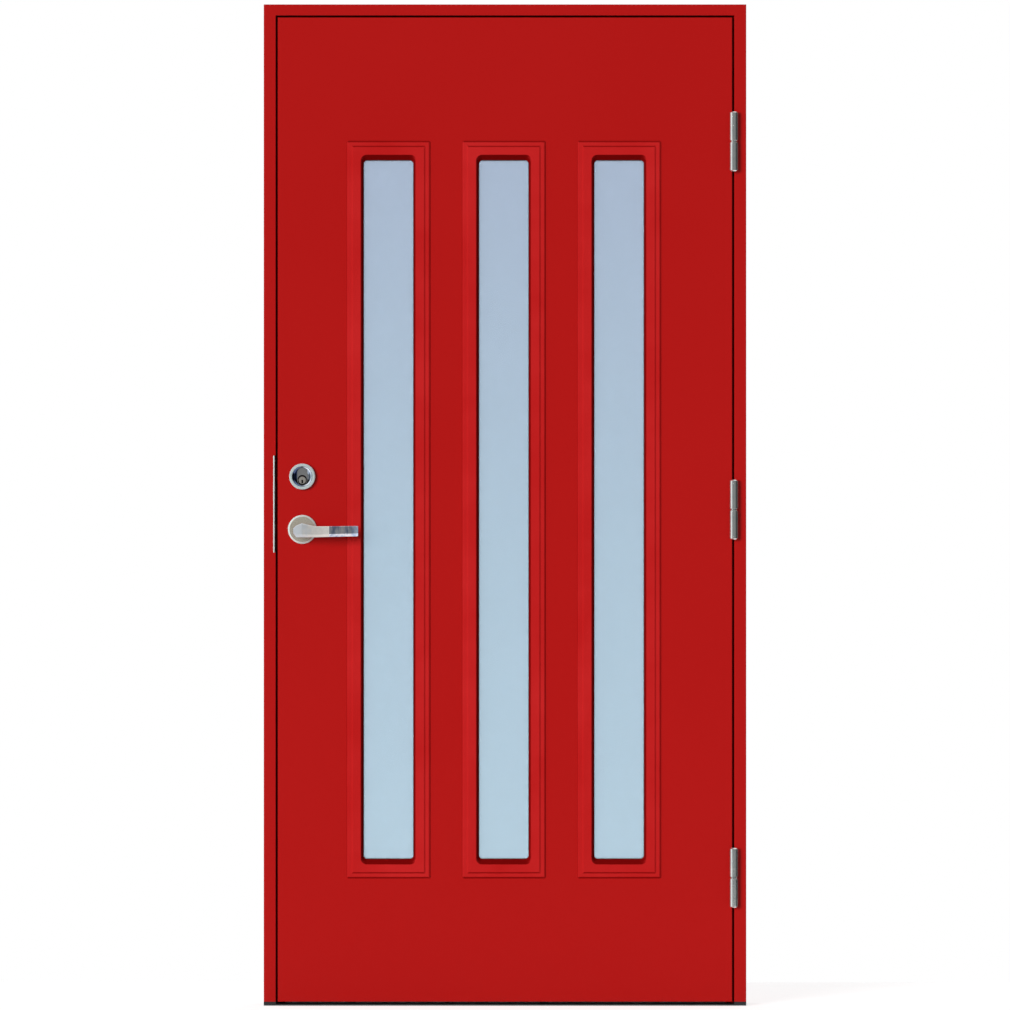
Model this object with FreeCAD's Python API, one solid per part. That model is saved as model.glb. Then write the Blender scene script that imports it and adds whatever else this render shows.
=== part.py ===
# Exterior door set: an outward-opening insulated leaf with three tall narrow windows,
# hung on three lift-off hinges in a rebated timber frame.
# Millimetres. +Z is up and the outer face looks along -Y.
# The origin is the middle of the sill plate's underside.
import FreeCAD, Part
import math
import os

V = FreeCAD.Vector

# Frame
frame_width = 1000.0
frame_height = 2075.0
frame_depth = 115.0
side_face = 25.0
head_face = 23.0
stop_width = 17.0
arris = 1.5

# Sill
sill_plate_thickness = 3.0
sill_gap = 5.0
threshold_rise = 20.0
rail_thickness = 2.0
rail_cover = 20.0

# Leaf
leaf_gap = 4.0
leaf_thickness = 62.0
skin_thickness = 4.0
lock_stile_width = 96.0
hinge_stile_width = 60.0
top_rail_height = 90.0
bottom_rail_height = 140.0
seal_room = 5.0
seal_clearance = 0.3
seal_width = 8.0

# Windows
window_count = 3
window_gap = 65.0
window_side_margin = 145.0
window_shift = 2.5
window_end_margin = 255.5
moulding_width = 30.0
moulding_rise = 6.5
moulding_corner = 4.0
moulding_lip = 0.6
edge_run = 3.6
edge_corner = 1.0
ledge_width = 10.5
ledge_rise = 4.0
step_run = 3.0
plateau_corner = 1.5
opening_radius = 12.0
opening_break = 0.8
sight_radius = 9.0
reveal_side_slope = 5.0
reveal_end_slope = 10.0
collar_thickness = 9.0
collar_clearance = 1.0
glass_setback = 10.0
pane_thickness = 4.0
pane_cavity = 20.0
spacer_width = 8.0
glass_edge_clearance = 3.0

# Hinges
hinge_end_margin = 257.5
hinge_length = 123.5
knuckle_radius = 9.0
knuckle_stand_off = 1.0
knuckle_chamfer = 2.0
knuckle_gap = 0.4
hinge_axis_offset = 1.0
wing_thickness = 2.5
wing_depth = 34.0
pin_radius = 5.0
pin_clearance = 0.05
pin_reach = 40.0
pin_end_gap = 1.0

# Lock and strike
backset = 51.0
spindle_height = 987.0
cylinder_rise = 109.5
bolt_drop = 36.5
spindle_square = 8.0
spindle_clearance = 0.8
lock_case_length = 165.0
lock_case_depth = 78.0
lock_case_thickness = 16.0
lock_case_drop = 42.0
lock_pocket_clearance = 1.0
forend_length = 235.0
forend_width = 22.0
forend_thickness = 3.0
latch_height = 20.0
latch_thickness = 12.0
latch_bevel = 9.6
bolt_height = 30.0
bolt_length = 39.0
bolt_clearance = 0.3
strike_length = 201.0
strike_drop = 2.2
strike_width = 52.0
strike_thickness = 3.5
strike_sink = 1.8
strike_margin = 3.0
strike_pocket_depth = 13.0

# Lever handle
rose_radius = 29.8
rose_thickness = 9.0
rose_bevel = 3.5
neck_radius = 9.5
neck_clearance = 0.3
lever_nose = 18.0
lever_reach = 116.6
lever_stand_off = 60.0
lever_thickness = 12.0
lever_crease = 56.0
lever_setback = 13.0
lever_shoulder = 27.0
lever_peak = 13.0
lever_top = 6.6
lever_tip_top = 7.3
lever_drop = 16.4
lever_tip_drop = 14.3
lever_nose_top = 2.5
lever_nose_drop = 8.0
lever_heel = 12.0
lower_bevel = 5.8
upper_bevel = 3.0
bevel_depth = 4.0

# Lock cylinder
ring_radius = 26.9
ring_inner_radius = 20.5
ring_floor_radius = 13.0
ring_thickness = 11.0
ring_floor = 3.0
ring_round = 1.5
barrel_width = 21.5
barrel_height = 37.0
barrel_clearance = 0.3
barrel_stand_out = 7.5
plug_radius = 8.0
plug_clearance = 0.05
plug_end_gap = 0.3
plug_sink = 0.8
plug_depth = 27.0
keyway_radius = 4.6
keyway_rise = 0.9
keyway_depth = 24.0
turn_stem_radius = 8.0
turn_grip_height = 26.0
turn_thickness = 9.0
turn_projection = 22.0

# Frame fixing holes
fixing_end_margin = 160.0
fixing_lock_margin = 292.5
fixing_radius = 7.0
fixing_inset = 34.0

# Levels and faces that several pieces share
frame_half = frame_width / 2
jamb_face = frame_half - side_face
stop_edge = jamb_face - stop_width
leaf_half = jamb_face - leaf_gap
leaf_bottom = sill_plate_thickness + sill_gap
head_underside = frame_height - head_face
leaf_top = head_underside - leaf_gap
leaf_middle = leaf_thickness / 2
leaf_centre_height = (leaf_bottom + leaf_top) / 2
stop_face = leaf_thickness + seal_room
stop_top = head_underside - stop_width
threshold_top = leaf_bottom + threshold_rise
core_left = lock_stile_width - leaf_half
core_right = leaf_half - hinge_stile_width
core_bottom = leaf_bottom + bottom_rail_height
core_top = leaf_top - top_rail_height
core_back = leaf_thickness - skin_thickness
lock_axis = backset - leaf_half
cylinder_height = spindle_height + cylinder_rise
bolt_level = cylinder_height - bolt_drop
strike_middle = (spindle_height + cylinder_height) / 2
hinge_axis = leaf_half + leaf_gap / 2 + hinge_axis_offset
hinge_front = -(knuckle_radius + knuckle_stand_off)
hinge_levels = {
    "bottom": leaf_bottom + hinge_end_margin,
    "middle": leaf_centre_height,
    "top": leaf_top - hinge_end_margin,
}

# Window sizes, from the leaf's size and the margins round the mouldings
moulding_row = 2 * (leaf_half - window_side_margin)
moulding_outer_width = (moulding_row - (window_count - 1) * window_gap) / window_count
moulding_outer_height = leaf_top - leaf_bottom - 2 * window_end_margin
opening_width = moulding_outer_width - 2 * moulding_width
opening_height = moulding_outer_height - 2 * moulding_width
sight_width = opening_width - 2 * reveal_side_slope
sight_height = opening_height - 2 * reveal_end_slope
collar_width = sight_width + 2 * collar_thickness
collar_height = sight_height + 2 * collar_thickness
hole_width = collar_width + 2 * collar_clearance
hole_height = collar_height + 2 * collar_clearance
glass_width = hole_width - 2 * glass_edge_clearance
glass_height = hole_height - 2 * glass_edge_clearance
glass_back = glass_setback + 2 * pane_thickness + pane_cavity
window_sides = ("left", "middle", "right")


def block(x0, x1, y0, y1, z0, z1):
    """A box between two values on each axis."""
    return Part.makeBox(x1 - x0, y1 - y0, z1 - z0, V(x0, y0, z0))


def fused(shapes):
    """Several overlapping or touching solids as one."""
    whole = shapes[0]
    for shape in shapes[1:]:
        whole = whole.fuse(shape)
    return whole.removeSplitter()


def edges_where(shape, test):
    """The edges of a shape whose bounding boxes pass a test."""
    return [edge for edge in shape.Edges if test(edge.BoundBox)]


def near(a, b):
    """Whether two lengths are the same, to a hundredth of a millimetre."""
    return abs(a - b) < 0.01


def rounded_outline(points, radii, plane_point):
    """A closed wire through the points, with each corner rounded by its own radius.

    The points are pairs, and plane_point turns a pair into a point in space."""
    count = len(points)
    starts = []
    ends = []
    arcs = []
    for i, (point, radius) in enumerate(zip(points, radii)):
        here = V(point[0], point[1], 0)
        before = V(*points[i - 1], 0)
        after = V(*points[(i + 1) % count], 0)
        back = (before - here).normalize()
        on = (after - here).normalize()
        half_turn = back.getAngle(on) / 2
        trim = radius / math.tan(half_turn)
        middle = (back + on).normalize()
        apex = here + middle * (radius / math.sin(half_turn) - radius)
        starts.append(here + back * trim)
        ends.append(here + on * trim)
        arcs.append(apex)
    edges = []
    for i in range(count):
        arc_points = [plane_point(p.x, p.y) for p in (starts[i], arcs[i], ends[i])]
        edges.append(Part.Arc(*arc_points).toShape())
        line_start = plane_point(ends[i].x, ends[i].y)
        next_start = starts[(i + 1) % count]
        line_end = plane_point(next_start.x, next_start.y)
        edges.append(Part.LineSegment(line_start, line_end).toShape())
    return Part.Wire(edges)


def upright_rectangle(width, height, radius, x, y, z):
    """A rounded rectangle that stands in the plane of the door, centred at (x, y, z)."""
    half_w = width / 2
    half_h = height / 2
    corners = [(-half_w, -half_h), (half_w, -half_h), (half_w, half_h), (-half_w, half_h)]
    return rounded_outline(corners, [radius] * 4, lambda a, b: V(x + a, y, z + b))


def upright_prism(wire, depth):
    """The solid that an upright wire sweeps along +Y, or along -Y if depth is negative."""
    return Part.Face(wire).extrude(V(0, depth, 0))


def turned(profile, x, z):
    """A solid of revolution about an axis along Y through (x, z).

    The profile is a list of (radius, y) points."""
    points = [V(x + radius, y, z) for radius, y in profile]
    face = Part.Face(Part.makePolygon(points + points[:1]))
    return face.revolve(V(x, 0, z), V(0, 1, 0), 360)


def window_centres():
    """The x of each window's middle line, from the lock side to the hinge side.

    The row of windows stands a little towards the lock side of the leaf's middle."""
    pitch = moulding_outer_width + window_gap
    first = -window_shift - pitch * (window_count - 1) / 2
    return [first + pitch * i for i in range(window_count)]


def fixing_heights():
    """The fixing holes in each jamb: one near each end, and one either side of the lock."""
    return (
        fixing_end_margin,
        strike_middle - fixing_lock_margin,
        strike_middle + fixing_lock_margin,
        frame_height - fixing_end_margin,
    )


# Frame


def head():
    """The head: a flat with a stop below it, whose front arrises are rounded."""
    flat = block(-frame_half, frame_half, 0, frame_depth, head_underside, frame_height)
    front_edges = edges_where(
        flat,
        lambda b: near(b.YMax, 0) and (near(b.ZMin, frame_height) or near(b.XLength, 0)),
    )
    flat = flat.makeFillet(arris, front_edges)
    gap_edge = block(-jamb_face, jamb_face, 0, arris, head_underside, head_underside + arris)
    rounding = Part.makeCylinder(
        arris,
        2 * jamb_face,
        V(-jamb_face, arris, head_underside + arris),
        V(1, 0, 0),
    )
    flat = flat.cut(gap_edge.cut(rounding))
    return flat


def head_stop():
    """The stop under the head, between the jambs."""
    return block(-jamb_face, jamb_face, stop_face, frame_depth, stop_top, head_underside)


def side_stops():
    """The stops on the two jambs, from the sill plate to the head's stop."""
    stops = []
    for side in (-1, 1):
        edge = side * stop_edge
        x0, x1 = sorted((edge, side * jamb_face))
        stop = block(x0, x1, stop_face, frame_depth, sill_plate_thickness, stop_top)
        back_arris = edges_where(
            stop, lambda b: near(b.YMin, frame_depth) and near(b.XMin, edge) and near(b.XMax, edge)
        )
        stops.append(stop.makeFillet(arris, back_arris))
    return Part.makeCompound(stops)


def strike_mortise():
    """The recess for the strike plate, open to the frame's outer face, and its pockets."""
    face = -jamb_face
    low, high = strike_ends()
    deep = face - strike_sink - strike_thickness
    recess = block(deep, face, -arris, strike_width, low, high)
    return fused([recess] + [
        block(deep - strike_pocket_depth, face, y0, y1, z0, z1)
        for y0, y1, z0, z1 in strike_holes()
    ])


def strike_ends():
    """The strike plate's lower and upper end."""
    centre = strike_middle - strike_drop
    return centre - strike_length / 2, centre + strike_length / 2


def strike_holes():
    """The two openings of the strike plate, as (y0, y1, z0, z1), with room round the bolts."""
    half_y = latch_thickness / 2 + strike_margin
    holes = []
    for level, height in ((spindle_height, latch_height), (bolt_level, bolt_height)):
        half_z = height / 2 + strike_margin
        holes.append((leaf_middle - half_y, leaf_middle + half_y, level - half_z, level + half_z))
    return holes


def jamb(side):
    """A jamb board with its fixing holes, side -1 for the lock side, 1 for the hinge side."""
    x0, x1 = sorted((side * frame_half, side * jamb_face))
    post = block(x0, x1, 0, frame_depth, leaf_bottom, head_underside)
    front_edges = edges_where(post, lambda b: near(b.YMax, 0) and b.ZLength > side_face)
    post = post.makeFillet(arris, front_edges)
    for height in fixing_heights():
        start = V(x0 - arris, fixing_inset, height)
        post = post.cut(Part.makeCylinder(fixing_radius, side_face + 2 * arris, start, V(1, 0, 0)))
    return post


def lock_jamb():
    return jamb(-1).cut(strike_mortise())


def hinge_jamb():
    post = jamb(1)
    for height in hinge_levels.values():
        post = post.cut(wing(1, height))
    return post


def jamb_shoes():
    """The moisture shoes between the jambs' feet and the sill plate."""
    low = sill_plate_thickness
    return Part.makeCompound([
        block(-frame_half, -jamb_face, 0, frame_depth, low, leaf_bottom),
        block(jamb_face, frame_half, 0, frame_depth, low, leaf_bottom),
    ])


def sill_plate():
    """The flat plate under the whole frame."""
    return block(-frame_half, frame_half, 0, frame_depth, 0, sill_plate_thickness)


def threshold():
    """The hardwood threshold between the stops, with its back arris rounded."""
    front = stop_face + rail_thickness
    body = block(
        -stop_edge, stop_edge, front, frame_depth,
        sill_plate_thickness, threshold_top - rail_thickness,
    )
    seat = block(
        -stop_edge, stop_edge, front + rail_cover, frame_depth,
        threshold_top - rail_thickness, threshold_top,
    )
    body = fused([body, seat])
    back_edge = edges_where(body, lambda b: near(b.YMin, frame_depth) and near(b.ZMin, threshold_top))
    return body.makeFillet(arris, back_edge)


def threshold_rail():
    """The metal rail over the threshold's front edge, which the seal sits on."""
    front = block(
        -stop_edge, stop_edge, stop_face, stop_face + rail_thickness,
        sill_plate_thickness, threshold_top,
    )
    top = block(
        -stop_edge, stop_edge, stop_face, stop_face + rail_thickness + rail_cover,
        threshold_top - rail_thickness, threshold_top,
    )
    rail = fused([front, top])
    nose = edges_where(rail, lambda b: near(b.YMax, stop_face) and near(b.ZMin, threshold_top))
    return rail.makeFillet(arris, nose)


def weather_seal():
    """The seal on the stops' front faces, half round towards the leaf."""
    side_line = (leaf_half + stop_edge) / 2
    top_line = (leaf_top + stop_top) / 2
    bottom_line = (leaf_bottom + threshold_top) / 2
    middle_line = (top_line + bottom_line) / 2
    half = seal_width / 2
    reach = seal_room - seal_clearance
    flank = reach - half
    foot = V(-side_line, stop_face, middle_line)
    section = Part.Wire([
        Part.LineSegment(foot + V(-half, 0, 0), foot + V(half, 0, 0)).toShape(),
        Part.LineSegment(foot + V(half, 0, 0), foot + V(half, -flank, 0)).toShape(),
        Part.Arc(foot + V(half, -flank, 0), foot + V(0, -reach, 0), foot + V(-half, -flank, 0)).toShape(),
        Part.LineSegment(foot + V(-half, -flank, 0), foot + V(-half, 0, 0)).toShape(),
    ])
    path = Part.makePolygon([
        foot,
        V(-side_line, stop_face, top_line),
        V(side_line, stop_face, top_line),
        V(side_line, stop_face, bottom_line),
        V(-side_line, stop_face, bottom_line),
        foot,
    ])
    sweep = Part.BRepOffsetAPI.MakePipeShell(path)
    sweep.setTransitionMode(1)
    sweep.add(section)
    sweep.build()
    sweep.makeSolid()
    return Part.Solid(sweep.shape())


def strike_plate():
    """The strike plate in the lock jamb, with openings for the latch and the bolt."""
    low, high = strike_ends()
    back = -jamb_face - strike_sink - strike_thickness
    plate = block(back, back + strike_thickness, 0, strike_width, low, high)
    for y0, y1, z0, z1 in strike_holes():
        plate = plate.cut(block(back - 1, back + strike_thickness + 1, y0, y1, z0, z1))
    return plate


# Hinges


def wing(side, height):
    """A hinge plate let flush into the leaf's edge, side -1, or the jamb's face, side 1."""
    low = height - hinge_length / 2
    if side < 0:
        return block(leaf_half - wing_thickness, leaf_half, 0, wing_depth, low, low + hinge_length)
    return block(jamb_face, jamb_face + wing_thickness, 0, wing_depth, low, low + hinge_length)


def knuckle(low, high):
    """One half of the hinge barrel, with chamfered ends."""
    c = knuckle_chamfer
    profile = [
        V(0, 0, low),
        V(knuckle_radius - c, 0, low),
        V(knuckle_radius, 0, low + c),
        V(knuckle_radius, 0, high - c),
        V(knuckle_radius - c, 0, high),
        V(0, 0, high),
    ]
    half_section = Part.Face(Part.makePolygon(profile + profile[:1]))
    barrel = half_section.revolve(V(0, 0, 0), V(0, 0, 1), 360)
    barrel.translate(V(hinge_axis, hinge_front, 0))
    return barrel


def hinge_half(side, height):
    """The leaf's half, side -1, with the upper knuckle, or the frame's with the pin."""
    low = height - hinge_length / 2
    high = height + hinge_length / 2
    plate = wing(side, height)
    if side < 0:
        start, end = height + knuckle_gap / 2, high
    else:
        start, end = low, height - knuckle_gap / 2
    x0 = plate.BoundBox.XMin
    c = knuckle_chamfer
    web = block(x0, x0 + wing_thickness, hinge_front, wing_thickness, start + c, end - c)
    half = fused([plate, web, knuckle(start, end)])
    axis_foot = V(hinge_axis, hinge_front, height)
    if side < 0:
        bore = Part.makeCylinder(pin_radius + pin_clearance, pin_reach + pin_end_gap, axis_foot)
        return half.cut(bore)
    pin = Part.makeCylinder(pin_radius, pin_reach + c, axis_foot - V(0, 0, c))
    return fused([half, pin])


# Leaf


def window_holes(front, back):
    """The square-cornered holes for the glass, between two depths."""
    half_w = hole_width / 2
    half_h = hole_height / 2
    low = leaf_centre_height - half_h
    high = leaf_centre_height + half_h
    return [block(x - half_w, x + half_w, front, back, low, high) for x in window_centres()]


def leaf_sheet(y0, y1, shown):
    """A face sheet of the leaf between two depths, with rounded edges on the face shown."""
    sheet = block(-leaf_half, leaf_half, y0, y1, leaf_bottom, leaf_top)
    rim = edges_where(sheet, lambda b: near(b.YMin, shown) and near(b.YMax, shown))
    sheet = sheet.makeFillet(arris, rim)
    for hole in window_holes(y0, y1):
        sheet = sheet.cut(hole)
    return sheet.cut(spindle_hole())


def leaf_outer_skin():
    sheet = leaf_sheet(0, skin_thickness, 0)
    for height in hinge_levels.values():
        sheet = sheet.cut(wing(-1, height))
    return sheet.cut(barrel_shape(0, skin_thickness, barrel_clearance))


def leaf_inner_skin():
    sheet = leaf_sheet(core_back, leaf_thickness, leaf_thickness)
    return sheet.cut(turn_stem(turn_stem_radius + barrel_clearance))


def spindle_hole():
    """The round hole through the leaf that the spindle and the necks turn in."""
    return Part.makeCylinder(
        neck_radius + spindle_clearance,
        leaf_thickness,
        V(lock_axis, 0, spindle_height),
        V(0, 1, 0),
    )


def leaf_lock_stile():
    stile = block(-leaf_half, core_left, skin_thickness, core_back, leaf_bottom, leaf_top)
    stile = stile.cut(spindle_hole())
    stile = stile.cut(lock_pocket())
    stile = stile.cut(barrel_shape(0, lock_front(), barrel_clearance))
    return stile.cut(turn_stem(turn_stem_radius + barrel_clearance))


def leaf_hinge_stile():
    stile = block(core_right, leaf_half, skin_thickness, core_back, leaf_bottom, leaf_top)
    for height in hinge_levels.values():
        stile = stile.cut(wing(-1, height))
    return stile


def leaf_rails():
    """The rails at the leaf's top and bottom, between the stiles."""
    return Part.makeCompound([
        block(core_left, core_right, skin_thickness, core_back, core_top, leaf_top),
        block(core_left, core_right, skin_thickness, core_back, leaf_bottom, core_bottom),
    ])


def leaf_core():
    """The insulating slab between the stiles and rails, cut away round the windows."""
    slab = block(core_left, core_right, skin_thickness, core_back, core_bottom, core_top)
    for hole in window_holes(skin_thickness, core_back):
        slab = slab.cut(hole)
    return slab


# Windows


def moulding(depth):
    """A raised glazing frame about x = 0: stepped face, sloping reveal and a collar.

    The skin's face is at y = 0, and the collar reaches the glass at y = depth."""
    z = leaf_centre_height
    width = moulding_outer_width
    height = moulding_outer_height
    lip = upright_prism(upright_rectangle(width, height, moulding_corner, 0, 0, z), -moulding_lip)
    rim = 2 * edge_run
    base = Part.makeLoft(
        [
            upright_rectangle(width, height, moulding_corner, 0, -moulding_lip, z),
            upright_rectangle(width - rim, height - rim, edge_corner, 0, -ledge_rise, z),
        ],
        True,
        True,
    )
    foot = 2 * ledge_width
    top = foot + 2 * step_run
    plateau = Part.makeLoft(
        [
            upright_rectangle(width - foot, height - foot, plateau_corner, 0, -ledge_rise, z),
            upright_rectangle(width - top, height - top, plateau_corner, 0, -moulding_rise, z),
        ],
        True,
        True,
    )
    collar = upright_prism(upright_rectangle(collar_width, collar_height, sight_radius, 0, 0, z), depth)
    flare = 2 * opening_break
    mouth = opening_radius + opening_break
    throat = opening_break - moulding_rise
    reveal = Part.makeLoft(
        [
            upright_rectangle(opening_width + flare, opening_height + flare, mouth, 0, -moulding_rise, z),
            upright_rectangle(opening_width, opening_height, opening_radius, 0, throat, z),
            upright_rectangle(sight_width, sight_height, sight_radius, 0, depth, z),
        ],
        True,
        True,
    )
    return fused([lip, base, plateau, collar]).cut(reveal)


def outer_moulding(x):
    frame = moulding(glass_setback)
    frame.translate(V(x, 0, 0))
    return frame


def inner_moulding(x):
    frame = moulding(leaf_thickness - glass_back)
    frame.rotate(V(0, 0, 0), V(0, 0, 1), 180)
    frame.translate(V(x, leaf_thickness, 0))
    return frame


def glass(x):
    """The two panes of a sealed unit."""
    low = leaf_centre_height - glass_height / 2
    high = low + glass_height
    left = x - glass_width / 2
    right = left + glass_width
    outer = block(left, right, glass_setback, glass_setback + pane_thickness, low, high)
    inner = block(left, right, glass_back - pane_thickness, glass_back, low, high)
    return Part.makeCompound([outer, inner])


def spacer(x):
    """The bar that holds the panes of one unit apart, along all four edges."""
    y0 = glass_setback + pane_thickness
    y1 = glass_back - pane_thickness
    half_w = glass_width / 2
    half_h = glass_height / 2
    z = leaf_centre_height
    ring = block(x - half_w, x + half_w, y0, y1, z - half_h, z + half_h)
    half_w = half_w - spacer_width
    half_h = half_h - spacer_width
    return ring.cut(block(x - half_w, x + half_w, y0, y1, z - half_h, z + half_h))


def glazing_spacers():
    return Part.makeCompound([spacer(x) for x in window_centres()])


# Lock, in the lock stile


def lock_front():
    """The depth of the lock case's outer face."""
    return leaf_middle - lock_case_thickness / 2


def lock_ends():
    """The lock case's lower and upper end."""
    low = spindle_height - lock_case_drop
    return low, low + lock_case_length


def forend_ends():
    """The forend's lower and upper end, about the lock case's middle."""
    middle = sum(lock_ends()) / 2
    return middle - forend_length / 2, middle + forend_length / 2


def lock_pocket():
    """The mortise for the case, with room round it, and the flush recess for the forend."""
    room = lock_pocket_clearance
    low, high = lock_ends()
    front = lock_front() - room
    back = front + lock_case_thickness + 2 * room
    inner = lock_case_depth - leaf_half + room
    mortise = block(-leaf_half, inner, front, back, low - room, high + room)
    low, high = forend_ends()
    half = forend_width / 2
    edge = -leaf_half
    recess = block(edge, edge + forend_thickness, leaf_middle - half, leaf_middle + half, low, high)
    return fused([mortise, recess])


def bolt_channels(room):
    """The latch and the dead bolt as plain bars behind the forend's face, grown by room."""
    half_y = latch_thickness / 2 + room
    bars = []
    for level, height in ((spindle_height, latch_height), (bolt_level, bolt_height)):
        half_z = height / 2 + room
        bars.append(block(
            -leaf_half, bolt_length - leaf_half, leaf_middle - half_y, leaf_middle + half_y,
            level - half_z, level + half_z,
        ))
    return bars


def mortise_lock():
    """The lock case behind its forend, open where the bolts and the spindle pass."""
    low, high = lock_ends()
    front = lock_front()
    back = front + lock_case_thickness
    case = block(-leaf_half, lock_case_depth - leaf_half, front, back, low, high)
    low, high = forend_ends()
    half = forend_width / 2
    edge = -leaf_half
    forend = block(edge, edge + forend_thickness, leaf_middle - half, leaf_middle + half, low, high)
    lock = fused([case, forend])
    for bar in bolt_channels(bolt_clearance):
        lock = lock.cut(bar)
    half_diagonal = spindle_square / math.sqrt(2)
    follower = Part.makeCylinder(
        half_diagonal + spindle_clearance,
        lock_case_thickness,
        V(lock_axis, front, spindle_height),
        V(0, 1, 0),
    )
    return lock.cut(follower)


def lock_bolts():
    """The latch and the dead bolt, drawn back level with the forend.

    The latch's bevel faces the inside, where the strike plate meets it on closing."""
    latch, bolt = bolt_channels(0)
    edge = -leaf_half
    inner = leaf_middle + latch_thickness / 2
    corner = [V(edge, inner, 0), V(edge + latch_bevel, inner, 0), V(edge, inner - latch_bevel, 0)]
    wedge = Part.Face(Part.makePolygon(corner + corner[:1])).extrude(V(0, 0, latch_height))
    wedge.translate(V(0, 0, spindle_height - latch_height / 2))
    return Part.makeCompound([latch.cut(wedge), bolt])


# Lever handle


def rose(x, z):
    """A round rose with a bevelled rim and a hole that the lever's neck turns in."""
    hole = neck_radius + neck_clearance
    disc = turned(
        [
            (hole, 0),
            (rose_radius, 0),
            (rose_radius, -rose_thickness / 2),
            (rose_radius - rose_bevel, -rose_thickness),
            (hole, -rose_thickness),
        ],
        x,
        z,
    )
    return disc


def outside_rose():
    return rose(lock_axis, spindle_height)


def mirrored_inside(shape):
    """The same piece on the leaf's inner face."""
    return shape.mirror(V(0, leaf_middle, 0), V(0, 1, 0))


def inside_rose():
    return mirrored_inside(outside_rose())


def lever_section(x, low, high):
    """The lever's bevelled cross-section at x, between two heights about the spindle."""
    slope = lever_setback / (lever_crease + lever_nose)
    front = max(lever_crease - x, 0) * slope - lever_stand_off
    back = front + lever_thickness
    corners = [
        (back, low),
        (front + bevel_depth, low),
        (front, low + lower_bevel),
        (front, high - upper_bevel),
        (front + bevel_depth, high),
        (back, high),
    ]
    points = [V(x, y, z) for y, z in corners]
    return Part.makePolygon(points + points[:1])


def outside_lever():
    """The lever: a nosed hub that slopes outwards to a crease, then a straight flat grip."""
    heel = lever_heel - lever_nose
    along = (lever_crease + heel) / (lever_reach + heel)
    crease_low = -lever_drop + (lever_drop - lever_tip_drop) * along
    nose_side = (lever_nose_top + lever_peak) / 2
    bar = Part.makeLoft(
        [
            lever_section(-lever_nose, -lever_nose_drop, lever_nose_top),
            lever_section(-lever_heel, -lever_drop, nose_side),
            lever_section(0, -lever_drop, lever_peak),
            lever_section(lever_shoulder, -lever_drop, lever_top),
            lever_section(lever_crease, crease_low, lever_top),
            lever_section(lever_reach, -lever_tip_drop, lever_tip_top),
        ],
        True,
        True,
    )
    neck = Part.makeCylinder(
        neck_radius, lever_stand_off - lever_setback - lever_thickness / 2, V(0, 0, 0), V(0, -1, 0)
    )
    lever = fused([bar, neck])
    lever.translate(V(lock_axis, 0, spindle_height))
    return lever


def inside_lever():
    return mirrored_inside(outside_lever())


def spindle():
    """The square bar that joins the two levers through the lock."""
    half = spindle_square / 2
    return block(
        lock_axis - half, lock_axis + half, 0, leaf_thickness, spindle_height - half, spindle_height + half
    )


# Lock cylinder


def barrel_shape(front, back, room):
    """The oval section of the lock barrel between two depths, grown by room."""
    wire = upright_rectangle(
        barrel_width + 2 * room,
        barrel_height + 2 * room,
        barrel_width / 2 + room - 0.001,
        lock_axis,
        front,
        cylinder_height,
    )
    return upright_prism(wire, back - front)


def cylinder_ring():
    """The protective ring: a turned cup whose sloping inside lets the barrel through."""
    front = -ring_thickness
    break_y = front + ring_round
    ring = turned(
        [
            (0, 0),
            (ring_radius, 0),
            (ring_radius, break_y),
            (ring_radius - ring_round, front),
            (ring_inner_radius + ring_round, front),
            (ring_inner_radius, break_y),
            (ring_floor_radius, -ring_floor),
            (0, -ring_floor),
        ],
        lock_axis,
        cylinder_height,
    )
    return ring.cut(barrel_shape(-ring_thickness, 0, barrel_clearance))


def plug_height():
    """The key plug turns about the centre of the barrel's lower round."""
    return cylinder_height - barrel_height / 2 + barrel_width / 2


def lock_barrel():
    """The oval barrel from the lock case out into the ring, bored for the plug."""
    barrel = barrel_shape(-barrel_stand_out, lock_front(), 0)
    bore = Part.makeCylinder(
        plug_radius + plug_clearance,
        plug_sink + plug_depth + plug_end_gap,
        V(lock_axis, -barrel_stand_out, plug_height()),
        V(0, 1, 0),
    )
    return barrel.cut(bore)


def key_plug():
    """The plug that the key turns, set back a little in the barrel, with a half-round keyway."""
    face = V(lock_axis, plug_sink - barrel_stand_out, plug_height())
    plug = Part.makeCylinder(plug_radius, plug_depth, face, V(0, 1, 0))
    keyway = Part.makeCylinder(keyway_radius, keyway_depth, face, V(0, 1, 0))
    above = Part.makeBox(
        2 * plug_radius, keyway_depth, plug_radius, face + V(-plug_radius, 0, keyway_rise)
    )
    return plug.cut(keyway.cut(above))


def turn_stem(radius):
    """The round stem from the lock case to the thumb turn, at a given radius."""
    start = lock_front() + lock_case_thickness
    return Part.makeCylinder(
        radius, leaf_thickness + rose_thickness - start, V(lock_axis, start, cylinder_height), V(0, 1, 0)
    )


def turn_rose():
    """The thumb turn's rose on the inner face."""
    hole = turn_stem_radius + neck_clearance
    disc = turned(
        [
            (hole, 0),
            (ring_radius, 0),
            (ring_radius, -rose_thickness / 2),
            (ring_radius - rose_bevel, -rose_thickness),
            (hole, -rose_thickness),
        ],
        lock_axis,
        cylinder_height,
    )
    return mirrored_inside(disc)


def thumb_turn():
    """The thumb turn: an upright oval grip on its stem."""
    wire = upright_rectangle(
        turn_thickness, turn_grip_height, turn_thickness / 2 - 0.001,
        lock_axis, leaf_thickness + rose_thickness, cylinder_height,
    )
    grip = upright_prism(wire, turn_projection)
    return fused([turn_stem(turn_stem_radius), grip])


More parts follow.
